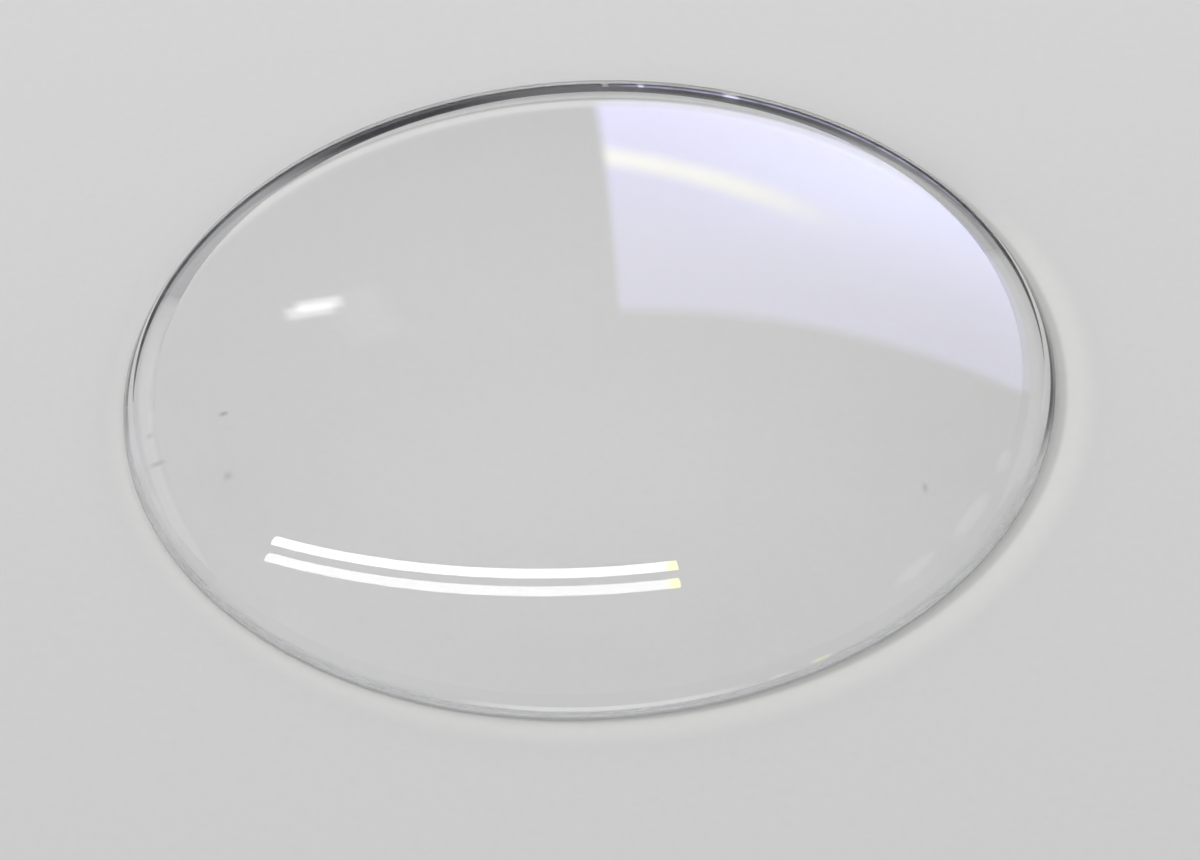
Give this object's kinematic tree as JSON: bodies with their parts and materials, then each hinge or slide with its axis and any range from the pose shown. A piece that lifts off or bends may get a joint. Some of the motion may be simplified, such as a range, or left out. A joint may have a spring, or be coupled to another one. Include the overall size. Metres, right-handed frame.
{
  "type": "watch crystal",
  "caption": "Round clear watch crystal: a shallow double-domed glass with a short ground wall under a wide bevel, and a flat ring seat with a slope inside it.",
  "frame": {"origin": "centre of the flat ring seat, on the dome's axis, at the height of the surface it stands on", "axes": "+Z along the dome's axis, from the seat out through the crown; X and Y are equal, because the crystal is round"},
  "size_m": [0.036, 0.036, 0.0038],
  "materials": {
    "glass": "clear and polished on both domes, finely ground on the wall, its bevels and the seat, with a polished slope inside the seat"
  },
  "bodies": {
    "root": {"crystal": "glass"}
  },
  "joints": []
}
